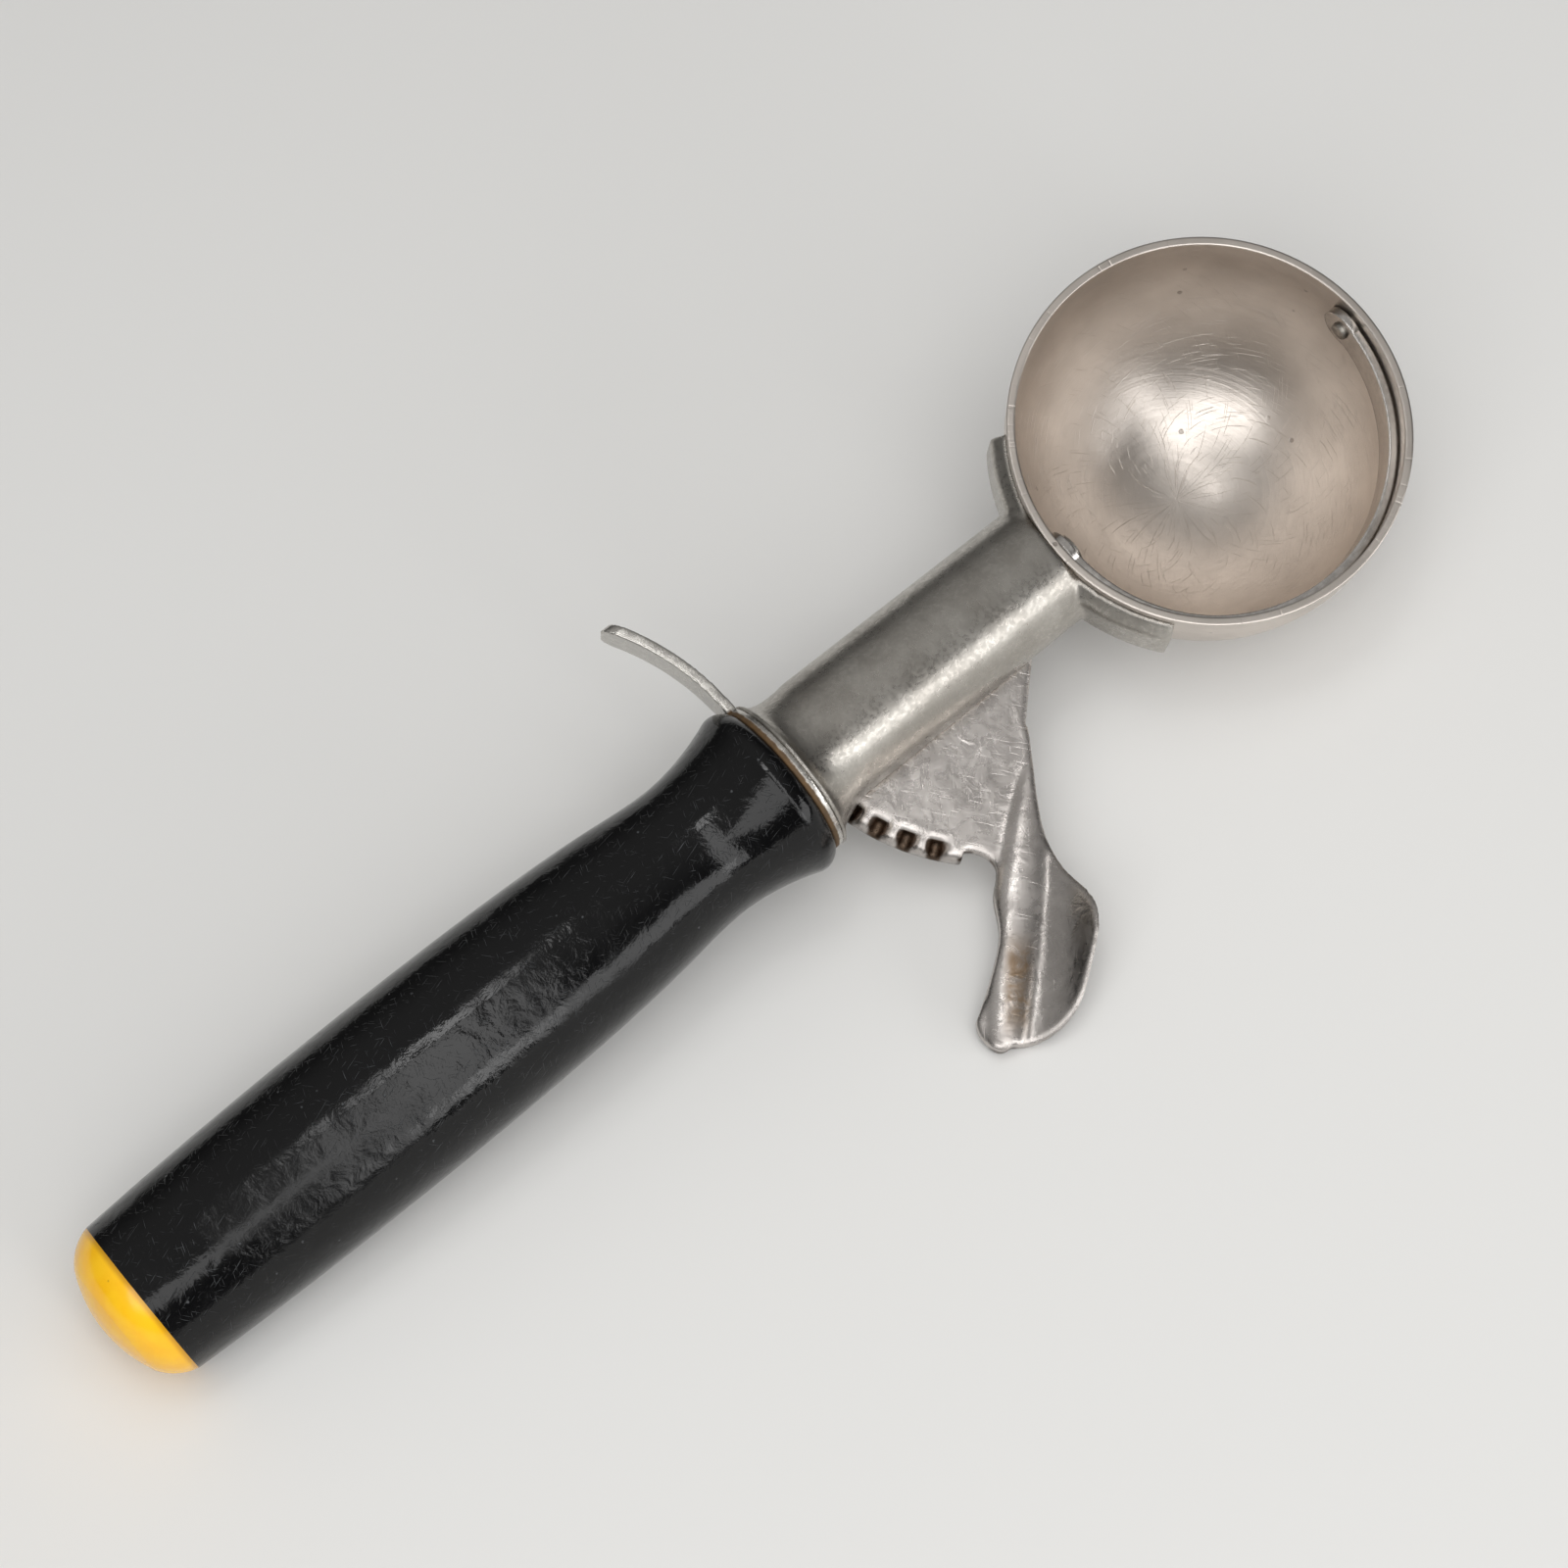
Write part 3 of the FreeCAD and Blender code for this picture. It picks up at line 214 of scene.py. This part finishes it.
def cast_plating():
    """Satin plating over a grainy casting."""
    s = Shader("cast_plating")
    grain = s.noise(1.5, 4.0, 0.6)
    coarse = s.noise(0.45, 3.0, 0.5)
    tone = s.ramp(s.noise(0.10, 3.0, 0.6), 0.35, 0.65)
    speckle = s.ramp(grain, 0.36, 0.64)
    color = s.mix(tone, (0.41, 0.385, 0.35), (0.53, 0.505, 0.465))
    color = s.mix(s.times(speckle, 0.30), color, (0.28, 0.265, 0.24))
    roughness = s.plus(s.ramp(speckle, 0.0, 1.0, 0.24, 0.33), s.times(coarse, 0.06))
    normal = s.bump(coarse, 0.06, normal=s.rounded(1.0))
    normal = s.bump(grain, 0.026, normal=normal)
    return s.finish(color, roughness, normal, Metallic=1.0)


def shade_and_grime_between_teeth(s):
    """Painted shade with brown dirt on the low surfaces of the toothed rim, thickest in the gaps."""
    x, y, z = s.split(s.mapped(s.place, location=(-PIVOT_X, 0, 0)))
    reach = s.math("SQRT", s.plus(s.times(x, x), s.times(y, y)))
    turn = s.times(s.math("ARCTAN2", y, x), SECTOR_TEETH)
    gap = s.ramp(s.times(s.math("COSINE", turn), -1.0), -0.3, 0.5, 0.15, 0.95)
    low = s.ramp(z, SHADE_AND_DIRT_LEVEL - 0.55, SHADE_AND_DIRT_LEVEL, 1.0, 0.0)
    return s.times(s.times(low, s.ramp(reach, TEETH_START, TEETH_START + 0.6)), gap)


def sheet_plating():
    """Bright plating on pressed sheet, dented and scratched, with brown wear at the thumb, painted shade on
    the flange, and painted shade with dirt on the toothed rim.
    """
    s = Shader("sheet_plating")
    broad = s.noise(0.12, 4.0, 0.6, distortion=0.6)
    mottle = s.noise(0.35, 5.0, 0.62, distortion=1.2)
    color = s.mix(s.ramp(broad, 0.35, 0.65), (0.53, 0.495, 0.47), (0.67, 0.63, 0.60))
    far, out = s.along_crease()
    patina = s.times(s.close_to(far, THUMB_ALONG, 3.0, 8.5), s.close_to(out, THUMB_OUT, 0.9, 2.6))
    patina = s.times(patina, s.ramp(mottle, 0.3, 0.6, 0.45, 1.0))
    color = s.mix(s.times(patina, 0.85), color, (0.21, 0.13, 0.062))
    shade = s.times(s.ramp(out, 1.5, 4.5), s.ramp(far, 4.0, 12.0, 0.3, 1.0))
    color = s.mix(s.times(shade, 0.35), color, (0.22, 0.205, 0.19))
    # Dark brown for the toothed rim: painted shade in the gaps and under the rim, with some dirt
    dirt = s.mix(mottle, (0.03, 0.02, 0.012), (0.14, 0.085, 0.05))
    color = s.mix(shade_and_grime_between_teeth(s), color, dirt)
    roughness = s.plus(s.ramp(mottle, 0.3, 0.7, 0.22, 0.33), s.times(patina, 0.05))
    dents = s.noise(0.22, 3.0, 0.5, distortion=0.8)
    marks = s.streaks(s.place, 0.9, 5.0, 0.35, 0.66, 0.74)
    marks = s.either(marks, s.streaks(s.place, 2.2, 3.5, 0.30, 0.68, 0.76))
    normal = s.bump(dents, 0.16, normal=s.rounded(1.5))
    normal = s.bump(mottle, 0.025, normal=normal)
    normal = s.bump(marks, -0.012, normal=normal)
    return s.finish(color, roughness, normal, Metallic=1.0)


def rest_plating():
    """The finger rest: bright plating, and brown dirt packed round its ring between collar and handle."""
    s = Shader("rest_plating")
    grain = s.noise(0.9, 4.0, 0.6)
    x, y = s.split()[:2]
    inside = s.ramp(y, RING_RADIUS, RING_RADIUS + 0.6, 1.0, 0.0)
    behind = s.ramp(s.plus(x, s.times(grain, 0.6)), RING_X - 0.3, RING_X, 1.0, 0.0)
    ring = s.times(inside, behind)
    color = s.mix(s.ramp(grain, 0.35, 0.65), (0.52, 0.50, 0.47), (0.64, 0.62, 0.58))
    color = s.mix(ring, color, s.mix(grain, (0.02, 0.012, 0.006), (0.17, 0.095, 0.035)))
    roughness = s.plus(s.ramp(grain, 0.3, 0.7, 0.20, 0.30), s.times(ring, 0.45))
    s.feed(s.bsdf.inputs["Metallic"], s.math("SUBTRACT", 1.0, ring))
    normal = s.bump(grain, 0.02)
    return s.finish(color, roughness, normal)


def blade_plating():
    """The scraper blade: bright rolled strip with worn edges."""
    s = Shader("blade_plating")
    grain = s.noise(1.2, 3.0, 0.5)
    color = s.mix(s.ramp(grain, 0.35, 0.65), (0.56, 0.53, 0.50), (0.66, 0.63, 0.60))
    normal = s.bump(grain, 0.008, normal=s.rounded(0.4))
    return s.finish(color, s.ramp(grain, 0.3, 0.7, 0.18, 0.27), normal, Metallic=1.0)


def bowl_plating():
    """Satin plating with polish marks round the bowl, small scratches and pits."""
    s = Shader("bowl_plating")
    flat = s.around_bowl()
    rings = s.noise(1.0, 4.0, 0.65, s.mapped(flat, scale=(0.06, 3.2, 1)))
    cloud = s.noise(0.09, 3.0, 0.5)
    mottle = s.noise(0.7, 4.0, 0.6)
    color = s.mix(s.ramp(cloud, 0.35, 0.65), (0.63, 0.575, 0.525), (0.72, 0.66, 0.605))
    roughness = s.plus(s.ramp(rings, 0.3, 0.7, 0.28, 0.37), s.times(mottle, 0.05))
    marks = s.streaks(flat, 0.25, 7.0, 0.16, 0.66, 0.74)
    marks = s.either(marks, s.streaks(flat, -0.8, 5.0, 0.14, 0.68, 0.76))
    pits = s.times(s.ramp(s.cells(0.22), 0.05, 0.10, 1.0, 0.0), s.ramp(s.noise(0.08), 0.5, 0.56))
    color = s.mix(s.times(pits, 0.6), color, (0.16, 0.13, 0.11))
    normal = s.bump(rings, 0.03, normal=s.rounded(0.5))
    normal = s.bump(marks, -0.025, normal=normal)
    normal = s.bump(pits, -0.04, normal=normal)
    return s.finish(color, roughness, normal, Metallic=1.0)


def black_enamel():
    """Glossy black with orange peel, fine scratches and dents."""
    s = Shader("black_enamel")
    flat = s.around_handle()
    peel = s.noise(0.35, 4.0, 0.6, distortion=0.4)
    wear = s.ramp(s.noise(0.06, 3.0, 0.6), 0.42, 0.62)
    lines = s.streaks(flat, 0.35, 3.6, 0.16, 0.70, 0.74)
    lines = s.either(lines, s.streaks(flat, 1.25, 2.6, 0.14, 0.70, 0.74))
    lines = s.either(lines, s.streaks(flat, 2.2, 3.0, 0.13, 0.715, 0.755))
    lines = s.either(lines, s.streaks(flat, -0.5, 2.0, 0.16, 0.715, 0.755))
    nicks = s.times(s.ramp(s.cells(0.45), 0.05, 0.11, 1.0, 0.0), s.ramp(s.noise(0.14), 0.50, 0.56))
    marked = s.either(s.times(lines, s.ramp(s.noise(0.05), 0.35, 0.6, 0.15, 0.9)), nicks)
    color = s.mix(s.times(marked, 0.6), (0.0022, 0.0022, 0.0025), (0.075, 0.08, 0.085))
    roughness = s.plus(s.ramp(wear, 0.0, 1.0, 0.10, 0.17), s.times(marked, 0.35))
    waves = s.noise(0.13, 2.0, 0.5, distortion=0.4)
    normal = s.bump(waves, 0.13)
    normal = s.bump(peel, 0.09, normal=normal)
    normal = s.bump(marked, -0.04, normal=normal)
    return s.finish(color, roughness, normal, Specular_IOR_Level=0.33)


def yellow_enamel():
    """Glossy warm yellow, a little dirty at the seam."""
    s = Shader("yellow_enamel")
    x = s.split()[0]
    seam = s.ramp(x, SEAM_X - 0.85, SEAM_X)
    cloud = s.ramp(s.noise(0.25, 3.0, 0.6), 0.35, 0.65)
    color = s.mix(cloud, (0.96, 0.50, 0.008), (0.99, 0.56, 0.012))
    pits = s.ramp(s.cells(0.30), 0.03, 0.07, 1.0, 0.0)
    dirt = s.either(s.times(seam, 0.6), s.times(pits, 0.5))
    color = s.mix(dirt, color, (0.30, 0.11, 0.01))
    normal = s.bump(s.noise(0.30, 2.0, 0.5), 0.05)
    normal = s.bump(s.noise(3.0, 2.0, 0.5), 0.003, normal=normal)
    return s.finish(color, s.ramp(cloud, 0.0, 1.0, 0.16, 0.24), normal)


def turned_brass():
    """Brass turned on a lathe, stained in places."""
    s = Shader("turned_brass")
    rings = s.noise(6.0, 2.0, 0.5, s.mapped(s.place, scale=(1, 0.1, 0.1)))
    stain = s.ramp(s.noise(0.7, 3.0, 0.6), 0.4, 0.65)
    color = s.mix(s.times(stain, 0.6), (0.62, 0.47, 0.23), (0.28, 0.20, 0.10))
    return s.finish(color, s.ramp(rings, 0.3, 0.7, 0.25, 0.4), s.bump(rings, 0.01), Metallic=1.0)


def drawn_wire():
    """Dull steel wire."""
    s = Shader("drawn_wire")
    grain = s.noise(1.8, 3.0, 0.6)
    color = s.mix(s.ramp(grain, 0.35, 0.65), (0.34, 0.33, 0.32), (0.52, 0.50, 0.48))
    return s.finish(color, s.ramp(grain, 0.3, 0.7, 0.25, 0.38), s.bump(grain, 0.01), Metallic=1.0)


MATERIALS = {
    "plated_cast": cast_plating(),
    "plated_sheet": sheet_plating(),
    "plated_bowl": bowl_plating(),
    "finger_rest": rest_plating(),
    "scraper_blade": blade_plating(),
    "black_enamel": black_enamel(),
    "yellow_cap": yellow_enamel(),
    "brass_bush": turned_brass(),
    "spring_steel": drawn_wire(),
}

# Castings and pressings are drawn as one skin with melted corners: voxel size in mm, smoothing steps
MELTED = {"shank": (0.28, 18), "lever": (0.24, 8), "finger_rest": (0.22, 5)}

# Edge softening of the other nodes, in mm
SOFT_EDGES = {
    "bowl": 0.45,
    "end_cap": 0.15,
    "scraper_blade": 0.15,
    "pinion": 0.12,
    "far_pivot_pin": 0.25,
    "axle": 0.2,
    "pivot_screw": 0.3,
    "rod_nut": 0.2,
    "stop_pin": 0.15,
}
SMOOTH_ANGLE = math.radians(32)


def dress_nodes():
    slots = {part["node"]: part["material_slot"] for part in frame["record"]["subparts"]}
    for name, node in NODES.items():
        node.data.materials.clear()
        node.data.materials.append(MATERIALS.get(name) or MATERIALS[slots[name]])
        node.data.shade_smooth()
        if name in MELTED:
            voxel, steps = MELTED[name]
            skin = node.modifiers.new("skin", "REMESH")
            skin.mode = "VOXEL"
            skin.voxel_size = voxel * MM
            skin.use_smooth_shade = True
            melt = node.modifiers.new("melt", "SMOOTH")
            melt.iterations = steps
        if name in SOFT_EDGES:
            bevel = node.modifiers.new("soft_edges", "BEVEL")
            bevel.width = SOFT_EDGES[name] * MM
            bevel.segments = 3
            bevel.angle_limit = SMOOTH_ANGLE
            bevel.harden_normals = True


dress_nodes()


# Stage: the floor's size, what the lamps face, and how bright the room is at the walls, overhead
# and where the camera looks straight at it
FLOOR_SIZE = 3.0
LAMP_TARGET = Vector((-70, 0, -5))
WALL_LEVEL = 0.07
CEILING_LEVEL = 0.42
BACKDROP_LEVEL = 0.80
CEILING_MIDDLE = Vector((0, 0.45, 0.89))


def floor_place():
    """The foot of the floor: its plane touches the part's lowest point along the floor's normal."""
    corners = (vertex.co for node in NODES.values() for vertex in node.data.vertices)
    return FLOOR_NORMAL * min(FLOOR_NORMAL.dot(corner) for corner in corners)


def floor_material():
    """Pale paper from above, and nothing from below, so that low views still show the part."""
    material = bpy.data.materials.new("pale_floor")
    material.use_nodes = True
    tree = material.node_tree
    tree.nodes.clear()
    output = tree.nodes.new("ShaderNodeOutputMaterial")
    paper = tree.nodes.new("ShaderNodeBsdfDiffuse")
    paper.inputs["Color"].default_value = (0.74, 0.735, 0.72, 1)
    clear = tree.nodes.new("ShaderNodeBsdfTransparent")
    side = tree.nodes.new("ShaderNodeNewGeometry")
    blend = tree.nodes.new("ShaderNodeMixShader")
    tree.links.new(side.outputs["Backfacing"], blend.inputs[0])
    tree.links.new(paper.outputs[0], blend.inputs[1])
    tree.links.new(clear.outputs[0], blend.inputs[2])
    tree.links.new(blend.outputs[0], output.inputs["Surface"])
    return material


def make_floor():
    bpy.ops.mesh.primitive_plane_add(size=FLOOR_SIZE)
    floor = bpy.context.object
    floor.name = "floor"
    tilt = FLOOR_NORMAL.to_track_quat("Z", "Y").to_matrix().to_4x4()
    floor.matrix_world = Matrix.Translation(floor_place()) @ tilt
    floor.data.materials.append(floor_material())


def make_lamp(name, direction, distance, width, height, radiance, mirrored=True, along=(1, 0, 0)):
    """A soft box that faces the part's middle, its width along a direction, seen in gloss or not."""
    lamp = bpy.data.lights.new(name, "AREA")
    lamp.shape = "RECTANGLE"
    lamp.size = width
    lamp.size_y = height
    lamp.energy = radiance * math.pi * width * height
    holder = bpy.data.objects.new(name, lamp)
    holder.visible_glossy = mirrored
    bpy.context.scene.collection.objects.link(holder)
    toward = Vector(direction).normalized()
    holder.location = LAMP_TARGET * MM + toward * distance
    upright = toward.cross(Vector(along)).normalized()
    sides = Matrix((upright.cross(toward), upright, toward))
    holder.rotation_mode = "QUATERNION"
    holder.rotation_quaternion = sides.transposed().to_quaternion()


def make_world():
    """Dim all round, brighter overhead and behind, and pale where the camera looks straight at it."""
    world = bpy.data.worlds.new("studio")
    bpy.context.scene.world = world
    world.use_nodes = True
    tree = world.node_tree
    background = tree.nodes["Background"]
    coords = tree.nodes.new("ShaderNodeTexCoord")
    up = tree.nodes.new("ShaderNodeVectorMath")
    up.operation = "DOT_PRODUCT"
    up.inputs[1].default_value = CEILING_MIDDLE
    tree.links.new(coords.outputs["Generated"], up.inputs[0])
    sky = tree.nodes.new("ShaderNodeMapRange")
    sky.interpolation_type = "SMOOTHSTEP"
    sky.inputs["From Min"].default_value = 0.25
    sky.inputs["From Max"].default_value = 1.0
    sky.inputs["To Min"].default_value = WALL_LEVEL
    sky.inputs["To Max"].default_value = CEILING_LEVEL
    tree.links.new(up.outputs["Value"], sky.inputs["Value"])
    path = tree.nodes.new("ShaderNodeLightPath")
    seen = tree.nodes.new("ShaderNodeMix")
    tree.links.new(path.outputs["Is Camera Ray"], seen.inputs["Factor"])
    tree.links.new(sky.outputs[0], seen.inputs["A"])
    seen.inputs["B"].default_value = BACKDROP_LEVEL
    tree.links.new(seen.outputs["Result"], background.inputs["Strength"])
    background.inputs["Color"].default_value = (1.0, 0.99, 0.97, 1)


def make_camera():
    data = bpy.data.cameras.new("camera")
    data.sensor_width = 36.0
    data.lens = FOCAL_PIXELS / FRAME_PIXELS * data.sensor_width
    data.clip_start = 0.01
    camera = bpy.data.objects.new("camera", data)
    bpy.context.scene.collection.objects.link(camera)
    back = CAMERA_RIGHT.cross(CAMERA_UP)
    turn = Matrix((CAMERA_RIGHT, CAMERA_UP, back)).transposed().to_4x4()
    camera.matrix_world = Matrix.Translation(CAMERA_PLACE * MM) @ turn
    bpy.context.scene.camera = camera


make_floor()
make_lamp("window", (0.016, -0.50, 0.86), 1.0, 0.19, 1.50, 2.8)
make_lamp("tube", (0.016, 0.30, 0.95), 0.9, 0.17, 0.09, 6.0)
make_lamp("low_window", (0.43, -0.76, 0.48), 1.1, 0.95, 0.42, 2.8, along=(0.87, 0.49, 0))
make_lamp("side", (-0.50, -0.24, 0.82), 1.2, 1.15, 0.60, 2.3, along=CAMERA_RIGHT)
make_lamp("room", (0.0, 0.1, 1.0), 1.2, 1.2, 1.2, 1.3, mirrored=False)
make_world()
make_camera()
bpy.context.scene.view_settings.view_transform = "Standard"
